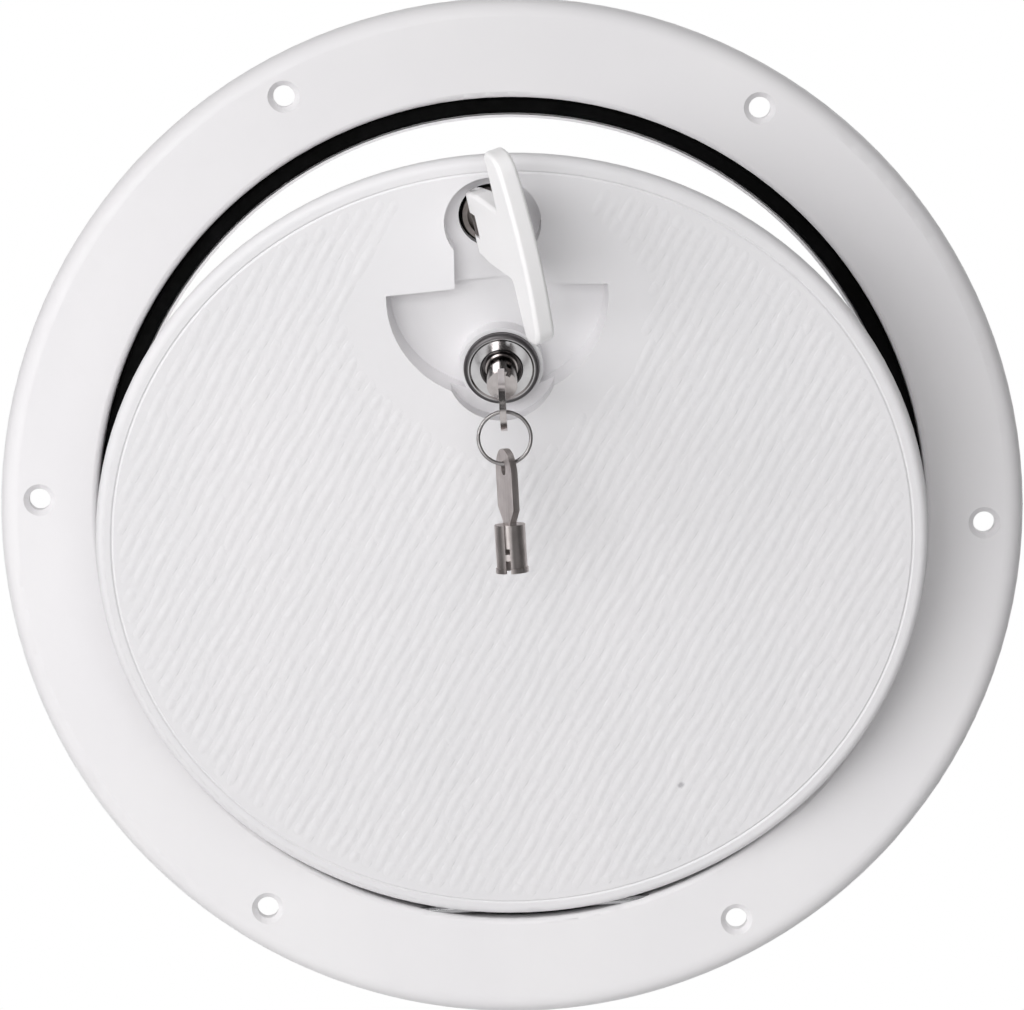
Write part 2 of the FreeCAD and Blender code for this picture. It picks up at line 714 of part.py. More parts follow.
def lock_plug():
    """Turning plug with the ring-shaped keyway and a square end."""
    body = cyl(PLUG_R, at(PLUG_BOTTOM), TOP + PLUG_PROUD, 0, LOCK_Y)
    rim = [e for e in body.Edges if len(e.Vertexes) == 1 and e.BoundBox.ZMin > TOP]
    body = body.makeFillet(PLUG_EDGE, rim)
    half = PLUG_SQUARE / 2
    square = block(-half, half, LOCK_Y - half, LOCK_Y + half,
                   at(PLUG_SQUARE_BOTTOM), at(PLUG_BOTTOM) + 0.5)
    body = body.fuse(square)
    way = tube(KEYWAY_IN_R, KEYWAY_OUT_R, TOP + PLUG_PROUD - KEYWAY_DEEP, TOP + PLUG_PROUD + 1, 0, LOCK_Y)
    tapped = cyl(CAM_SCREW_R + SCREW_RUN, at(PLUG_SQUARE_BOTTOM) - 1, at(CAM_SCREW_TOP) + 0.2, 0, LOCK_Y)
    return body.cut([way, tapped]).removeSplitter()


def lock_cam():
    """Cam on the plug. Shown in the unlocked place, pointing left."""
    low = at(CAM_TOP + CAM_T)
    high = at(CAM_TOP)
    straight = CAM_REACH - CAM_HALF
    finger = block(-straight, 0, LOCK_Y - CAM_HALF, LOCK_Y + CAM_HALF, low, high)
    tip = cyl(CAM_HALF, low, high, -straight, LOCK_Y)
    hub = cyl(CAM_HUB_R, low, high, 0, LOCK_Y)
    half = PLUG_SQUARE / 2 + 0.1
    square = block(-half, half, LOCK_Y - half, LOCK_Y + half, low - 1, high + 1)
    return finger.fuse([tip, hub]).cut(square).removeSplitter()


def lock_cam_washer():
    """Washer under the cam."""
    high = at(CAM_WASHER_TOP)
    return tube(CAM_SCREW_R + 0.3, CAM_WASHER_R, high - CAM_WASHER_T, high, 0, LOCK_Y)


def lock_cam_screw():
    """Screw that holds the cam on the plug."""
    high = at(CAM_WASHER_TOP) - CAM_WASHER_T
    return pan_screw(0, LOCK_Y, high, CAM_HEAD_T, CAM_HEAD_R, CAM_SCREW_R, at(CAM_SCREW_TOP))


def key_shape():
    """One tubular key: tip at the origin, bow up the z axis in the y-z plane."""
    body = cyl(TUBE_R, 0, TUBE_LONG)
    flare = cyl(FLARE_R, 0, FLARE_LONG)
    bore = cyl(TUBE_BORE_R, -1, TUBE_LONG - TUBE_BACK)
    half = BOW_W / 2
    root = BOW_ROOT_W / 2
    base = TUBE_LONG - 1.0
    shoulder = base + BOW_SHOULDER
    round_at = KEY_LONG - half
    edges = [Part.LineSegment(V(0, -root, base), V(0, root, base)).toShape(),
             Part.LineSegment(V(0, root, base), V(0, root, TUBE_LONG + 0.6)).toShape(),
             Part.LineSegment(V(0, root, TUBE_LONG + 0.6), V(0, half, shoulder)).toShape(),
             Part.LineSegment(V(0, half, shoulder), V(0, half, round_at)).toShape(),
             Part.Arc(V(0, half, round_at), V(0, 0, KEY_LONG), V(0, -half, round_at)).toShape(),
             Part.LineSegment(V(0, -half, round_at), V(0, -half, shoulder)).toShape(),
             Part.LineSegment(V(0, -half, shoulder), V(0, -root, TUBE_LONG + 0.6)).toShape(),
             Part.LineSegment(V(0, -root, TUBE_LONG + 0.6), V(0, -root, base)).toShape()]
    bow = Part.Face(Part.Wire(edges)).extrude(V(BOW_T, 0, 0))
    bow.translate(V(-BOW_T / 2, 0, 0))
    hole = Part.makeCylinder(BOW_HOLE_R, 10, V(-5, 0, KEY_LONG - BOW_HOLE_FROM_END), X_AXIS)
    slot = block(-TUBE_SLOT_W / 2, TUBE_SLOT_W / 2, -TUBE_R - 2, 0, -1, TUBE_SLOT_LONG)
    wide = TUBE_GROOVE_W / 2
    floor = TUBE_R - TUBE_GROOVE_DEEP
    from_z = TUBE_LONG - TUBE_GROOVE_LONG
    grooves = [block(-wide, wide, floor, TUBE_R + 1, from_z, TUBE_LONG + 1),
               block(-wide, wide, -TUBE_R - 1, -floor, from_z, TUBE_LONG + 1)]
    slits = [spin(cut, TUBE_GROOVE_TURN) for cut in [slot] + grooves]
    body = body.fuse(flare).cut([bore] + slits)
    return body.fuse(bow).cut(hole).removeSplitter()


def key_in_lock():
    """The key standing in the lock, drawn on the shut lid."""
    key = key_shape()
    key.translate(V(0, LOCK_Y, at(KEY_TIP_DEPTH)))
    return key


def bow_hole():
    """Centre of the hole in the bow of the key in the lock, in the rest pose."""
    point = V(0, LOCK_Y, at(KEY_TIP_DEPTH) + KEY_LONG - BOW_HOLE_FROM_END)
    turn = FreeCAD.Rotation(X_AXIS, LID_OPEN)
    return HINGE + turn.multVec(point - HINGE)


def ring_centre():
    """Middle of the key ring, hanging straight down from the bow hole."""
    drop = BOW_HOLE_R - KEY_WIRE_R - HANG_GAP
    return bow_hole() - V(0, drop + KEY_RING_R, 0)


def key_ring():
    """Wire ring that faces the viewer and hangs straight down."""
    return Part.makeTorus(KEY_RING_R, KEY_WIRE_R, ring_centre(), Z_AXIS)


def spare_key():
    """Second key, hanging by its bow from the bottom of the ring."""
    drop = BOW_HOLE_R - KEY_WIRE_R - HANG_GAP
    hole = ring_centre() - V(0, KEY_RING_R + drop, 0)
    key = key_shape()
    key.translate(V(0, 0, BOW_HOLE_FROM_END - KEY_LONG))
    key = spin(key, -90.0, ORIGIN, X_AXIS)
    key = spin(key, SPARE_TURN, ORIGIN, Y_AXIS)
    key.translate(hole)
    return key


export(deck_ring(), "deck_ring")
export(ring_gasket(), "ring_gasket")
export(hinge_pin(-1), "hinge_pin_left")
export(hinge_pin(1), "hinge_pin_right")
export(with_lid(lid()), "lid")
export(with_handle(handle()), "handle")
export(with_handle(handle_pin()), "handle_pin")
export(with_rotor(handle_rotor()), "handle_rotor")
export(with_rotor(rotor_o_ring()), "rotor_o_ring")
export(with_rotor(rotor_spring_washer()), "rotor_spring_washer")
export(with_rotor(latch_arm()), "latch_arm")
export(with_rotor(latch_washer()), "latch_washer")
export(with_rotor(latch_screw()), "latch_screw")
export(with_lid(lock_body()), "lock_body")
export(with_lid(lock_gasket()), "lock_gasket")
export(with_lid(lock_nut()), "lock_nut")
export(with_lid(lock_plug()), "lock_plug")
export(with_lid(lock_cam()), "lock_cam")
export(with_lid(lock_cam_washer()), "lock_cam_washer")
export(with_lid(lock_cam_screw()), "lock_cam_screw")
export(with_lid(key_in_lock()), "key")
export(key_ring(), "key_ring")
export(spare_key(), "spare_key")
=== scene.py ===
import math

import bmesh
import bpy
from mathutils import Matrix, Vector


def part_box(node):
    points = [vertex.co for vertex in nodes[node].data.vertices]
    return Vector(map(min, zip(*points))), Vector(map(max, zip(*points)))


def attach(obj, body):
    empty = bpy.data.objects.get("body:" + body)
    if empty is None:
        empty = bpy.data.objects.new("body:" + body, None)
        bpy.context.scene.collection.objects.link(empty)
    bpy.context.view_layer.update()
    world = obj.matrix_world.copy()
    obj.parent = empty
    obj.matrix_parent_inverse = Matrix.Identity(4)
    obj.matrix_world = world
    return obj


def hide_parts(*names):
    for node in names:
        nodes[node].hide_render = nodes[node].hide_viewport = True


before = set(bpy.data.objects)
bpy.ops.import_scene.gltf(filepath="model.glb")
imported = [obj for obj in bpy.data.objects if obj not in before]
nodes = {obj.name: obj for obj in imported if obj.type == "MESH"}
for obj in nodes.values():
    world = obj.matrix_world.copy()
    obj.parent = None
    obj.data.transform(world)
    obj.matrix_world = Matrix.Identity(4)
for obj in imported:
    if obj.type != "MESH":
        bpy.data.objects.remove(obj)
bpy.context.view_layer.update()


# The plate is drawn flat, in millimetres: x to the right, y from the hinge to the latch,
# z out of the deck, with the deck's face at zero. These sizes repeat the drawing's.
MM = 0.001
TOP = 5.0
LID_OPEN = math.radians(16.8)
LID_R = 104.0
HINGE = Vector((0.0, 2.0 - LID_R, 3.1))
HUB = Vector((0.0, 86.8, TOP))
LOCK = Vector((0.0, 47.8, TOP))
BOWL = Vector((0.0, 67.0, TOP))
SOCKET_R = 11.9
BOWL_R = 27.3
LOBE_R = 13.6
BARREL_R = 8.0
BARREL_FLAT = 6.9
KEY_RING_R = 6.4
SPECK = Vector((38.9, -69.2, TOP))

ORIGIN = (0.0, 0.0, 0.0)
Z_AXIS = (0.0, 0.0, 1.0)
EVEN = (1.0, 1.0, 1.0)
FULL_TURN = 2 * math.pi


def about(point, matrix):
    """The matrix of a turn, moved so that it turns about a point."""
    return Matrix.Translation(point) @ matrix @ Matrix.Translation(-point)


UPRIGHT = Matrix.Rotation(math.radians(90), 4, "X")
WORLD = Matrix.Scale(MM, 4) @ UPRIGHT
LID = WORLD @ about(HINGE, Matrix.Rotation(LID_OPEN, 4, "X"))


# Materials. Colours are linear red, green and blue. Scales are patches to a metre, and depths
# and radii are in metres.
def shader_of(mat):
    """The material's surface shader."""
    return mat.node_tree.nodes["Principled BSDF"]


def new_material(name, colour, rough, metal=0.0, specular=0.5):
    """A plain surface; the functions below add its grain and wear."""
    mat = bpy.data.materials.new(name)
    mat.use_nodes = True
    inputs = shader_of(mat).inputs
    inputs["Base Color"].default_value = (*colour, 1.0)
    inputs["Roughness"].default_value = rough
    inputs["Metallic"].default_value = metal
    inputs["Specular IOR Level"].default_value = specular
    return mat


def place_on(mat, stretch=EVEN):
    """The object's own coordinates, stretched."""
    tree = mat.node_tree
    coord = tree.nodes.new("ShaderNodeTexCoord")
    mapping = tree.nodes.new("ShaderNodeMapping")
    mapping.inputs["Scale"].default_value = stretch
    tree.links.new(coord.outputs["Object"], mapping.inputs["Vector"])
    return mapping.outputs["Vector"]


def noise(mat, scale, detail=3.0, stretch=EVEN):
    """Cloudy pattern with so many patches to a metre."""
    tree = mat.node_tree
    node = tree.nodes.new("ShaderNodeTexNoise")
    node.inputs["Scale"].default_value = scale
    node.inputs["Detail"].default_value = detail
    tree.links.new(place_on(mat, stretch), node.inputs["Vector"])
    return node.outputs["Fac"]


def spread(mat, value, low=0.0, high=1.0, start=0.3, stop=0.7):
    """A value's range from start to stop drawn out between low and high."""
    tree = mat.node_tree
    node = tree.nodes.new("ShaderNodeMapRange")
    node.inputs["From Min"].default_value = start
    node.inputs["From Max"].default_value = stop
    node.inputs["To Min"].default_value = low
    node.inputs["To Max"].default_value = high
    tree.links.new(value, node.inputs["Value"])
    return node.outputs["Result"]


def tint(mat, value, colour):
    """Shift the colour towards another one where the pattern is strong."""
    tree = mat.node_tree
    base = shader_of(mat).inputs["Base Color"]
    mix = tree.nodes.new("ShaderNodeMix")
    mix.data_type = "RGBA"
    mix.inputs["A"].default_value = base.default_value
    if base.is_linked:
        tree.links.new(base.links[0].from_socket, mix.inputs["A"])
    mix.inputs["B"].default_value = (*colour, 1.0)
    tree.links.new(value, mix.inputs["Factor"])
    tree.links.new(mix.outputs["Result"], base)


def roughen(mat, value, low, high):
    """Roughness between two numbers, by a pattern."""
    mat.node_tree.links.new(spread(mat, value, low, high), shader_of(mat).inputs["Roughness"])


def dull_where(mat, value, rough):
    """At least this rough where the pattern is strong."""
    tree = mat.node_tree
    socket = shader_of(mat).inputs["Roughness"]
    duller = tree.nodes.new("ShaderNodeMath")
    duller.operation = "MAXIMUM"
    tree.links.new(socket.links[0].from_socket, duller.inputs[0])
    tree.links.new(spread(mat, value, high=rough, start=0.0, stop=1.0), duller.inputs[1])
    tree.links.new(duller.outputs["Value"], socket)


def emboss(mat, value, depth):
    """Fine relief of a depth, laid over the relief that is there."""
    tree = mat.node_tree
    normal = shader_of(mat).inputs["Normal"]
    bump = tree.nodes.new("ShaderNodeBump")
    bump.inputs["Strength"].default_value = 1.0
    bump.inputs["Distance"].default_value = depth
    tree.links.new(value, bump.inputs["Height"])
    if normal.is_linked:
        tree.links.new(normal.links[0].from_socket, bump.inputs["Normal"])
    tree.links.new(bump.outputs["Normal"], normal)


FLOW_SCALE = 22.0
FLOW_STRETCH = (1.0, 1.0, 0.45)
GLOSS_SCALE = 260.0
GLOSS_SWING = 0.06
GRAIN_SCALE = 1500.0
RIPPLE_SCALE = 180.0


def moulded_white(name, colour, shade, rough, grain):
    """White moulded plastic: fine spark-eroded grain, faint flow marks, uneven gloss."""
    mat = new_material(name, colour, rough)
    flow = noise(mat, FLOW_SCALE, detail=2.0, stretch=FLOW_STRETCH)
    tint(mat, spread(mat, flow), shade)
    roughen(mat, noise(mat, GLOSS_SCALE), rough - GLOSS_SWING, rough + GLOSS_SWING)
    emboss(mat, noise(mat, GRAIN_SCALE, detail=2.0), grain)
    emboss(mat, noise(mat, RIPPLE_SCALE, detail=1.0), grain)
    return mat


FILM_SCALE = 330.0
FILM_FROM = 0.4
FILM_FULL = 0.75
LINES_SCALE = 900.0
SMOOTHEST = 0.7
ROUGHEST = 1.35


def brushed_metal(name, colour, shade, rough, scratch, stretch=EVEN):
    """Metal with fine lines from its finishing and patches of darker film."""
    mat = new_material(name, colour, rough, metal=1.0)
    tint(mat, spread(mat, noise(mat, FILM_SCALE), start=FILM_FROM, stop=FILM_FULL), shade)
    lines = noise(mat, LINES_SCALE, detail=4.0, stretch=stretch)
    roughen(mat, lines, rough * SMOOTHEST, rough * ROUGHEST)
    emboss(mat, lines, scratch)
    return mat


SPECK_R = 0.0008
SPECK_BLUR = 1.8
SPECK_STRENGTH = 0.85
SPECK_EDGE_SCALE = 1800.0
SPECK_GREY = (0.42, 0.41, 0.43)


def add_speck(mat):
    """A small spot of dirt with a ragged edge, low on the right of the lid."""
    tree = mat.node_tree
    away = tree.nodes.new("ShaderNodeVectorMath")
    away.operation = "DISTANCE"
    away.inputs[1].default_value = LID @ SPECK
    tree.links.new(place_on(mat), away.inputs[0])
    ragged = tree.nodes.new("ShaderNodeMath")
    ragged.operation = "MULTIPLY_ADD"
    ragged.inputs[1].default_value = SPECK_R
    tree.links.new(noise(mat, SPECK_EDGE_SCALE, detail=2.0), ragged.inputs[0])
    tree.links.new(away.outputs["Value"], ragged.inputs[2])
    inside = spread(
        mat, ragged.outputs["Value"], low=SPECK_STRENGTH, high=0.0,
        start=SPECK_R, stop=SPECK_R * SPECK_BLUR)
    tint(mat, inside, SPECK_GREY)


def axis_distance(mat, place, way):
    """Distance of each point from the line through a place, along a unit vector."""
    tree = mat.node_tree
    away = tree.nodes.new("ShaderNodeVectorMath")
    away.operation = "SUBTRACT"
    away.inputs[1].default_value = place
    tree.links.new(place_on(mat), away.inputs[0])
    cross = tree.nodes.new("ShaderNodeVectorMath")
    cross.operation = "CROSS_PRODUCT"
    cross.inputs[1].default_value = way
    tree.links.new(away.outputs["Vector"], cross.inputs[0])
    length = tree.nodes.new("ShaderNodeVectorMath")
    length.operation = "LENGTH"
    tree.links.new(cross.outputs["Vector"], length.inputs[0])
    return length.outputs["Value"]


def lid_plastic(name):
    """The lid's plastic, with the speck of dirt."""
    mat = moulded_white(
        name, colour=(0.80, 0.785, 0.80), shade=(0.77, 0.76, 0.775), rough=0.48, grain=0.000007)
    add_speck(mat)
    return mat


PEBBLE_SCALE = 360.0
PEBBLE_DEPTH = 0.00016


def pebbled_plastic(name):
    """The lid's plastic on its ribs, which are uneven along their length."""
    mat = lid_plastic(name)
    emboss(mat, noise(mat, PEBBLE_SCALE, detail=1.0), PEBBLE_DEPTH)
    return mat


BLOOM_SCALE = 60.0
BLOOM_FROM = 0.45
BLOOM_FULL = 0.8
BLOOM_GREY = (0.005, 0.005, 0.0055)
PATCH_SCALE = 400.0
SKIN_SCALE = 1400.0
SKIN_DEPTH = 0.00001


def black_rubber(name):
    """Matt black rubber with a faint bloom and a fine skin."""
    mat = new_material(name, colour=(0.002, 0.002, 0.002), rough=0.75, specular=0.08)
    bloom = noise(mat, BLOOM_SCALE, detail=4.0)
    tint(mat, spread(mat, bloom, start=BLOOM_FROM, stop=BLOOM_FULL), BLOOM_GREY)
    roughen(mat, noise(mat, PATCH_SCALE), low=0.6, high=0.82)
    emboss(mat, noise(mat, SKIN_SCALE, detail=2.0), SKIN_DEPTH)
    return mat


ring_white = moulded_white(
    "ring_white", colour=(0.81, 0.795, 0.805), shade=(0.78, 0.765, 0.78),
    rough=0.42, grain=0.000006)
handle_white = moulded_white(
    "handle_white", colour=(0.95, 0.935, 0.94), shade=(0.92, 0.91, 0.915),
    rough=0.34, grain=0.000003)
lid_white = lid_plastic("lid_white")
rib_white = pebbled_plastic("rib_white")
seal_black = black_rubber("seal_black")
pin_steel = brushed_metal(
    "pin_steel", colour=(0.56, 0.56, 0.57), shade=(0.46, 0.46, 0.47),
    rough=0.30, scratch=0.000002, stretch=(0.06, 1, 1))
arm_steel = brushed_metal(
    "arm_steel", colour=(0.58, 0.58, 0.59), shade=(0.50, 0.50, 0.51),
    rough=0.32, scratch=0.000003, stretch=(1, 1, 0.05))
screw_steel = brushed_metal(
    "screw_steel", colour=(0.60, 0.60, 0.61), shade=(0.50, 0.50, 0.52),
    rough=0.26, scratch=0.000002, stretch=(1, 0.2, 1))
rotor_grey = brushed_metal(
    "rotor_grey", colour=(0.30, 0.27, 0.26), shade=(0.20, 0.18, 0.17),
    rough=0.40, scratch=0.000006)
nut_zinc = brushed_metal(
    "nut_zinc", colour=(0.60, 0.60, 0.59), shade=(0.50, 0.50, 0.49),
    rough=0.30, scratch=0.000003, stretch=(1, 0.1, 1))
lock_chrome = brushed_metal(
    "lock_chrome", colour=(0.70, 0.69, 0.69), shade=(0.62, 0.61, 0.61),
    rough=0.12, scratch=0.000001, stretch=(1, 0.5, 1))
plug_dark = brushed_metal(
    "plug_dark", colour=(0.14, 0.13, 0.13), shade=(0.10, 0.09, 0.09),
    rough=0.14, scratch=0.000001, stretch=(1, 0.5, 1))
key_nickel = brushed_metal(
    "key_nickel", colour=(0.64, 0.60, 0.59), shade=(0.55, 0.51, 0.50),
    rough=0.15, scratch=0.000001, stretch=(1, 0.1, 1))
spare_nickel = brushed_metal(
    "spare_nickel", colour=(0.64, 0.59, 0.575), shade=(0.55, 0.50, 0.49),
    rough=0.46, scratch=0.000002, stretch=(1, 1, 0.06))
ring_wire = brushed_metal(
    "ring_wire", colour=(0.44, 0.42, 0.42), shade=(0.36, 0.34, 0.34),
    rough=0.38, scratch=0.000001, stretch=(1, 0.1, 1))

# The band over the bezel's rounded edge gets a painted dark reflection, grey by distance from the
# lock's axis, and more roughness.
BEZEL_EDGE_FROM = 0.00815
BEZEL_EDGE_FULL = 0.0084
BEZEL_PAINTED_REFLECTION_GREY = (0.20, 0.19, 0.195)
BEZEL_EDGE_ROUGH = 0.45


def plated_bezel(name):
    """Bright plating on the lock's flat face; over its edge a painted dark reflection greys the
    colour, and the edge is duller.
    """
    mat = brushed_metal(
        name, colour=(0.74, 0.73, 0.735), shade=(0.66, 0.65, 0.655),
        rough=0.12, scratch=0.000001, stretch=(1, 0.5, 1))
    way = (LID.to_3x3() @ Vector(Z_AXIS)).normalized()
    out = axis_distance(mat, LID @ LOCK, way)
    edge = spread(mat, out, start=BEZEL_EDGE_FROM, stop=BEZEL_EDGE_FULL)
    # The grey tint here is a painted dark reflection of the rounded edge, not the plating's own
    # colour.
    tint(mat, edge, BEZEL_PAINTED_REFLECTION_GREY)
    dull_where(mat, edge, BEZEL_EDGE_ROUGH)
    return mat


bezel_chrome = plated_bezel("bezel_chrome")

LOOKS = {
    "deck_ring": ring_white,
    "lid": lid_white,
    "handle": handle_white,
    "ring_gasket": seal_black,
    "rotor_o_ring": seal_black,
    "lock_gasket": seal_black,
    "hinge_pin_left": pin_steel,
    "hinge_pin_right": pin_steel,
    "handle_pin": pin_steel,
    "handle_rotor": rotor_grey,
    "rotor_spring_washer": pin_steel,
    "latch_arm": arm_steel,
    "latch_washer": screw_steel,
    "latch_screw": screw_steel,
    "lock_body": bezel_chrome,
    "lock_nut": nut_zinc,
    "lock_plug": plug_dark,
    "lock_cam": arm_steel,
    "lock_cam_washer": screw_steel,
    "lock_cam_screw": screw_steel,
    "key": key_nickel,
    "spare_key": spare_nickel,
    "key_ring": ring_wire,
}
for name, node in nodes.items():
    for entry in node.material_slots:
        entry.material = LOOKS[name]


# Pieces that the drawing leaves to this script.
SHARP = math.radians(40)


def add_piece(name, bm, material, body):
    """Shade a bmesh softly inside its sharp edges, and let it ride on a body."""
    bmesh.ops.recalc_face_normals(bm, faces=bm.faces)
    for face in bm.faces:
        face.smooth = True
    for edge in bm.edges:
        edge.smooth = edge.calc_face_angle(0.0) < SHARP
    mesh = bpy.data.meshes.new(name)
    bm.to_mesh(mesh)
    bm.free()
    mesh.materials.append(material)
    obj = bpy.data.objects.new(name, mesh)
    bpy.context.scene.collection.objects.link(obj)
    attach(obj, body)
    return obj


# The width at a rib's ends, the shortest rib and the scatters of rows and heights are shares
# of the full width, length, pitch and height. The stagger is a share of the step between ribs.
# The scatter of angles is in radians.
RIB_ANGLE = math.radians(60.0)
ALONG = Vector((math.cos(RIB_ANGLE), math.sin(RIB_ANGLE), 0.0))
ACROSS = Vector((math.sin(RIB_ANGLE), -math.cos(RIB_ANGLE), 0.0))
RIB_PITCH = 3.19
RIB_W = 2.9
RIB_LONG = 13.0
RIB_OVERLAP = 2.6
RIB_HEIGHT = 0.14
RIB_ROOT = 0.25
RIB_SUNK = 0.008
RIB_END_W = 0.75
RIB_CELLS = 6
RIB_STAGGER = 0.382
RIB_SAMPLES = 5
RIB_SHORTEST = 0.3
ROW_SCATTER = 0.06
HEIGHT_SCATTER = 0.25
HEIGHT_SEED = 5
ANGLE_SCATTER = 0.04
ANGLE_SEED = 7
RIB_FIELD_R = 98.5
PLAIN_MARGIN = 10.0
NECK_MARGIN = 12.0


def in_rib_field(point):
    """True where the lid carries ribs: inside its border and clear of the recess."""
    if point.xy.length > RIB_FIELD_R:
        return False
    if (point.xy - LOCK.xy).length < LOBE_R + PLAIN_MARGIN:
        return False
    if (point.xy - BOWL.xy).length < BOWL_R + PLAIN_MARGIN and point.y < BOWL.y:
        return False
    if (point.xy - HUB.xy).length < SOCKET_R + NECK_MARGIN:
        return False
    up = (point.y - BOWL.y) / (HUB.y - BOWL.y)
    half_width = BOWL_R + (SOCKET_R - BOWL_R) * up + NECK_MARGIN
    return not (0.0 <= up <= 1.0 and abs(point.x) < half_width)


SCATTER_A = 12.9898
SCATTER_B = 78.233
SCATTER_GAIN = 43758.5453


def wobble(a, b):
    """A repeatable scattered number between -1 and 1, from the last digits of a long sine."""
    value = math.sin(a * SCATTER_A + b * SCATTER_B) * SCATTER_GAIN
    return 2.0 * (value - math.floor(value)) - 1.0


# Each wave's height in millimetres, then its turn in radians for a millimetre right and up.
DRIFT_WAVES = ((0.16, 0.31, 0.12), (0.14, -0.2, 0.43))


def drift(x, y):
    """How far the rows of ribs stray sideways at a place on the lid."""
    return sum(high * math.sin(right * x + up * y) for high, right, up in DRIFT_WAVES)


def rib_shape():
    """One low rib, one unit long and wide, with rounded ends and its root in the lid."""
    bm = bmesh.new()
    root = Matrix.Translation((0, 0, -RIB_ROOT))
    bmesh.ops.create_grid(bm, x_segments=RIB_CELLS, y_segments=RIB_CELLS, size=0.5, matrix=root)
    foot = list(bm.faces)
    grown = bmesh.ops.extrude_face_region(bm, geom=foot)["geom"]
    for vert in grown:
        if isinstance(vert, bmesh.types.BMVert):
            end = 1.0 - (2.0 * vert.co.x) ** 2
            side = math.cos(math.pi * vert.co.y) ** 2
            vert.co.z = RIB_HEIGHT * end * side - RIB_SUNK
            vert.co.y *= RIB_END_W + (1.0 - RIB_END_W) * end
    bmesh.ops.dissolve_faces(bm, faces=foot)
    mesh = bpy.data.meshes.new("rib_shape")
    bm.to_mesh(mesh)
    bm.free()
    return mesh


def rib_span(mid):
    """The first and last share of a rib's length, from its middle, that lie in the field."""
    shares = [0.5 * k / RIB_SAMPLES for k in range(-RIB_SAMPLES, RIB_SAMPLES + 1)]
    inside = [share for share in shares if in_rib_field(mid + ALONG * (RIB_LONG * share))]
    return (inside[0], inside[-1]) if inside else (0.0, 0.0)


def lid_ribs():
    """The lid's slip-proof field of low, slightly wavy ribs in broken rows."""
    shape = rib_shape()
    bm = bmesh.new()
    step = RIB_LONG - RIB_OVERLAP
    rows = int(RIB_FIELD_R / RIB_PITCH) + 1
    places = int(RIB_FIELD_R / step) + 2
    for i in range(-rows, rows + 1):
        for j in range(-places, places + 1):
            shift = (i * RIB_STAGGER) % 1.0
            row = ACROSS * (RIB_PITCH * (i + ROW_SCATTER * wobble(i, j)))
            mid = row + ALONG * ((j + shift) * step)
            first, last = rib_span(mid)
            if last - first < RIB_SHORTEST:
                continue
            mid = mid + ALONG * (RIB_LONG * 0.5 * (last + first)) + Vector((0, 0, TOP))
            high = 1.0 + HEIGHT_SCATTER * wobble(i, j + HEIGHT_SEED)
            size = Matrix.Diagonal((RIB_LONG * (last - first), RIB_W, high, 1.0))
            angle = RIB_ANGLE + ANGLE_SCATTER * wobble(i + ANGLE_SEED, j)
            turn = Matrix.Rotation(angle, 4, "Z")
            rib = shape.copy()
            rib.transform(Matrix.Translation(mid) @ turn @ size)
            bm.from_mesh(rib)
            bpy.data.meshes.remove(rib)
    bpy.data.meshes.remove(shape)
    for vert in bm.verts:
        vert.co += ACROSS * drift(*vert.co.xy)
    bmesh.ops.transform(bm, matrix=LID, verts=bm.verts)
    add_piece("lid_ribs", bm, rib_white, "lid")


# The near end is the first turn's distance behind the lid's face, and the crest is a share
# of the pitch.
THREAD_PITCH = 1.0
THREAD_NEAR = 13.4
THREAD_TURNS = 2
THREAD_HIGH = 0.22
THREAD_SUNK = 0.15
THREAD_CREST = 0.16
THREAD_STEPS = 40


def lock_thread():
    """Thread on the barrel of the lock below its nut, missing at the two flats."""
    bm = bmesh.new()
    start = TOP - THREAD_NEAR
    foot = BARREL_R - THREAD_SUNK
    crest = BARREL_R + THREAD_HIGH
    half_foot = 0.5 * THREAD_PITCH
    half_crest = 0.5 * THREAD_CREST * THREAD_PITCH
    profile = (
        (foot, 0, start - half_foot),
        (crest, 0, start - half_crest),
        (crest, 0, start + half_crest),
        (foot, 0, start + half_foot),
    )
    ridge = bm.faces.new([bm.verts.new(place) for place in profile])
    bmesh.ops.spin(
        bm, geom=[ridge] + list(ridge.edges) + list(ridge.verts), cent=ORIGIN, axis=Z_AXIS,
        dvec=(0, 0, -THREAD_PITCH / THREAD_STEPS), angle=FULL_TURN * THREAD_TURNS,
        steps=THREAD_STEPS * THREAD_TURNS)
    for side in (-1, 1):
        geom = list(bm.verts) + list(bm.edges) + list(bm.faces)
        bmesh.ops.bisect_plane(
            bm, geom=geom, plane_co=(side * BARREL_FLAT, 0, 0), plane_no=(side, 0, 0),
            clear_outer=True)
        bmesh.ops.holes_fill(bm, edges=bm.edges, sides=0)
    on_lock = LID @ Matrix.Translation((LOCK.x, LOCK.y, 0))
    bmesh.ops.transform(bm, matrix=on_lock, verts=bm.verts)
    add_piece("lock_thread", bm, lock_chrome, "lid")


# The wire is an oval with these half sizes. Each of its ends lies the end gap away from the
# middle of the jog, where it steps from one flat turn across to the other.
RING_WIRE_HALF_W = 0.46
RING_WIRE_HALF_T = 0.24
RING_WIRE_SIDES = 10
RING_ENDS_AT = math.radians(205)
RING_END_GAP = math.radians(24)
RING_JOG = math.radians(40)
RING_TURN_STEPS = 60
RING_JOG_STEPS = 8


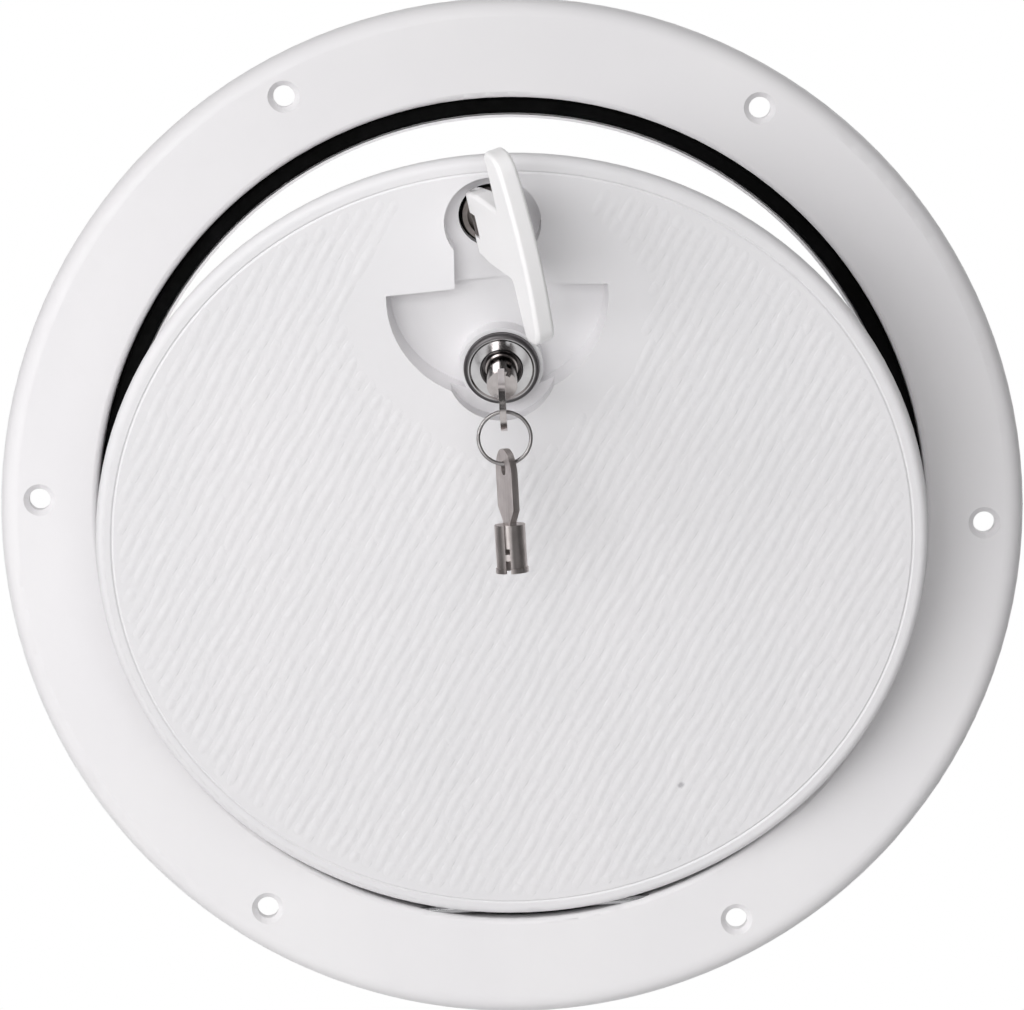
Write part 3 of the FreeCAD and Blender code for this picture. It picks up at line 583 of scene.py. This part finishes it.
def split_ring():
    """Sprung ring of two flat turns that carries the spare key under the key in the lock."""
    low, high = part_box("key_ring")
    middle = (Vector(low) + Vector(high)) * 0.5
    bm = bmesh.new()
    bmesh.ops.create_circle(bm, cap_ends=True, segments=RING_WIRE_SIDES, radius=1.0)
    oval = Matrix.Diagonal((RING_WIRE_HALF_W, RING_WIRE_HALF_T, 1, 1))
    section = Matrix.Translation((KEY_RING_R, 0, -RING_WIRE_HALF_T)) @ UPRIGHT
    bmesh.ops.transform(bm, matrix=section @ oval, verts=bm.verts)
    first_end = Matrix.Rotation(RING_END_GAP, 3, "Z")
    bmesh.ops.rotate(bm, cent=ORIGIN, matrix=first_end, verts=bm.verts)
    turn = FULL_TURN - RING_END_GAP - RING_JOG / 2
    flat_turn = (turn, 0.0, RING_TURN_STEPS)
    step_across = (RING_JOG, 2 * RING_WIRE_HALF_T, RING_JOG_STEPS)
    geom = list(bm.verts) + list(bm.edges) + list(bm.faces)
    for angle, rise, steps in (flat_turn, step_across, flat_turn):
        run = bmesh.ops.spin(
            bm, geom=geom, cent=ORIGIN, axis=Z_AXIS, dvec=(0, 0, rise / steps),
            angle=angle, steps=steps)
        geom = run["geom_last"]
    face_viewer = Matrix.Translation(middle) @ WORLD @ Matrix.Rotation(RING_ENDS_AT, 4, "Z")
    bmesh.ops.transform(bm, matrix=face_viewer, verts=bm.verts)
    ring = add_piece("split_ring", bm, ring_wire, "key_ring")
    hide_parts("key_ring")


lid_ribs()
lock_thread()
split_ring()

# Stage, light and camera. Places are in metres, lamps in watts.
FLOOR_R = 1.1
FLOOR_Z = -0.45
FLOOR_SIDES = 96
FLOOR_PATCHES = 6.0


def add_floor():
    """Round pale floor, well below the plate and outside the photograph's frame."""
    bm = bmesh.new()
    below = Matrix.Translation((0, 0, FLOOR_Z))
    bmesh.ops.create_circle(bm, cap_ends=True, segments=FLOOR_SIDES, radius=FLOOR_R, matrix=below)
    mesh = bpy.data.meshes.new("floor")
    bm.to_mesh(mesh)
    bm.free()
    pale = new_material("pale_floor", colour=(0.9, 0.9, 0.9), rough=0.8)
    tint(pale, spread(pale, noise(pale, FLOOR_PATCHES)), (0.87, 0.87, 0.87))
    mesh.materials.append(pale)
    obj = bpy.data.objects.new("floor", mesh)
    bpy.context.scene.collection.objects.link(obj)
    obj.visible_glossy = False
    return obj


add_floor()

LAMP_SIZE = 0.9


def add_area(name, place, power, mirrored=False):
    """Soft square lamp that looks at the plate's middle; polished parts mirror it or not."""
    data = bpy.data.lights.new(name, "AREA")
    data.shape = "SQUARE"
    data.size = LAMP_SIZE
    data.energy = power
    lamp = bpy.data.objects.new(name, data)
    bpy.context.scene.collection.objects.link(lamp)
    lamp.visible_glossy = mirrored
    lamp.location = place
    lamp.rotation_euler = (-Vector(place)).to_track_quat("-Z", "Y").to_euler()


add_area("left_light", place=(-1.35, -0.9, 0.25), power=9.5)
add_area("front_light", place=(-0.6, -1.5, 0.3), power=10.4, mirrored=True)
add_area("top_light", place=(0.0, -1.0, 1.25), power=5.5)
add_area("fill_light", place=(0.2, -1.8, 0.35), power=5.0)
add_area("rear_light", place=(0.9, 1.5, 0.6), power=12.0)

WHITE = (1, 1, 1, 1)
AMBIENT = 0.115
DARK_ROOM = 0.07
BACKDROP_FROM = 0.4
BACKDROP_FULL = 0.7
CARD_WAY = (0.0, -0.67, -0.74)
CARD_INNER = math.cos(math.radians(24))
CARD_OUTER = math.cos(math.radians(38))
CARD_LEVEL = 0.72


def add_world():
    """White backdrop, which metal mirrors too; before the plate a dim room with one pale card."""
    world = bpy.data.worlds.new("studio")
    bpy.context.scene.world = world
    world.use_nodes = True
    tree = world.node_tree

    def most(first, second):
        node = tree.nodes.new("ShaderNodeMath")
        node.operation = "MAXIMUM"
        tree.links.new(first, node.inputs[0])
        tree.links.new(second, node.inputs[1])
        return node.outputs["Value"]

    def ramp(value, start, stop, high=1.0):
        node = tree.nodes.new("ShaderNodeMapRange")
        node.inputs["From Min"].default_value = start
        node.inputs["From Max"].default_value = stop
        node.inputs["To Max"].default_value = high
        tree.links.new(value, node.inputs["Value"])
        return node.outputs["Result"]

    path = tree.nodes.new("ShaderNodeLightPath")
    coord = tree.nodes.new("ShaderNodeTexCoord")
    split = tree.nodes.new("ShaderNodeSeparateXYZ")
    tree.links.new(coord.outputs["Generated"], split.inputs["Vector"])
    backdrop = ramp(split.outputs["Y"], BACKDROP_FROM, BACKDROP_FULL)
    toward_card = tree.nodes.new("ShaderNodeVectorMath")
    toward_card.operation = "DOT_PRODUCT"
    toward_card.inputs[1].default_value = CARD_WAY
    tree.links.new(coord.outputs["Generated"], toward_card.inputs[0])
    card = ramp(toward_card.outputs["Value"], CARD_OUTER, CARD_INNER, CARD_LEVEL)
    bright = most(most(backdrop, card), path.outputs["Is Camera Ray"])

    room = tree.nodes.new("ShaderNodeMix")
    room.data_type = "RGBA"
    room.inputs["A"].default_value = (DARK_ROOM, DARK_ROOM, DARK_ROOM, 1)
    room.inputs["B"].default_value = WHITE
    tree.links.new(bright, room.inputs["Factor"])
    seen = tree.nodes.new("ShaderNodeBackground")
    seen.inputs["Strength"].default_value = 1.0
    tree.links.new(room.outputs["Result"], seen.inputs["Color"])
    ambient = tree.nodes["Background"]
    ambient.inputs["Color"].default_value = WHITE
    ambient.inputs["Strength"].default_value = AMBIENT

    mirrored = most(path.outputs["Is Glossy Ray"], path.outputs["Is Transmission Ray"])
    shown = most(path.outputs["Is Camera Ray"], mirrored)
    mix = tree.nodes.new("ShaderNodeMixShader")
    tree.links.new(shown, mix.inputs["Fac"])
    tree.links.new(ambient.outputs["Background"], mix.inputs[1])
    tree.links.new(seen.outputs["Background"], mix.inputs[2])
    tree.links.new(mix.outputs["Shader"], tree.nodes["World Output"].inputs["Surface"])


add_world()

# The camera looks at the ring's top face from straight ahead, a little tilted, rolled and
# turned. Distances are in the drawing's millimetres, the focus is in the photograph's pixels.
TILT = math.radians(7.35)
ROLL = math.radians(-1.38)
CLOCK = math.radians(-4.7)
DISTANCE = 1650.0
AIM = Vector((0, 1.65, 0))
FOCUS = 6500.0
PHOTO_W = 1024.0
SENSOR = 36.0
FARTHEST = 20.0


def add_camera():
    """Camera at the photograph's place, described in the ring's own directions."""
    rise = Vector((0, math.cos(TILT), -math.sin(TILT)))
    toward = Vector((0, math.sin(TILT), math.cos(TILT)))
    right = Vector((1, 0, 0)) * math.cos(ROLL) - rise * math.sin(ROLL)
    up = Vector((1, 0, 0)) * math.sin(ROLL) + rise * math.cos(ROLL)
    clock = Matrix.Rotation(CLOCK, 3, "Z")
    stand = UPRIGHT.to_3x3()
    place = stand @ (clock @ (AIM + toward * DISTANCE) + Vector((0, 0, TOP)))
    turn = Matrix([stand @ (clock @ way) for way in (right, up, toward)]).transposed()
    data = bpy.data.cameras.new("camera")
    data.sensor_width = SENSOR
    data.lens = FOCUS / PHOTO_W * SENSOR
    data.clip_end = FARTHEST
    cam = bpy.data.objects.new("camera", data)
    bpy.context.scene.collection.objects.link(cam)
    cam.matrix_world = Matrix.Translation(place * MM) @ turn.to_4x4()
    bpy.context.scene.camera = cam


add_camera()
bpy.context.scene.view_settings.view_transform = "Standard"
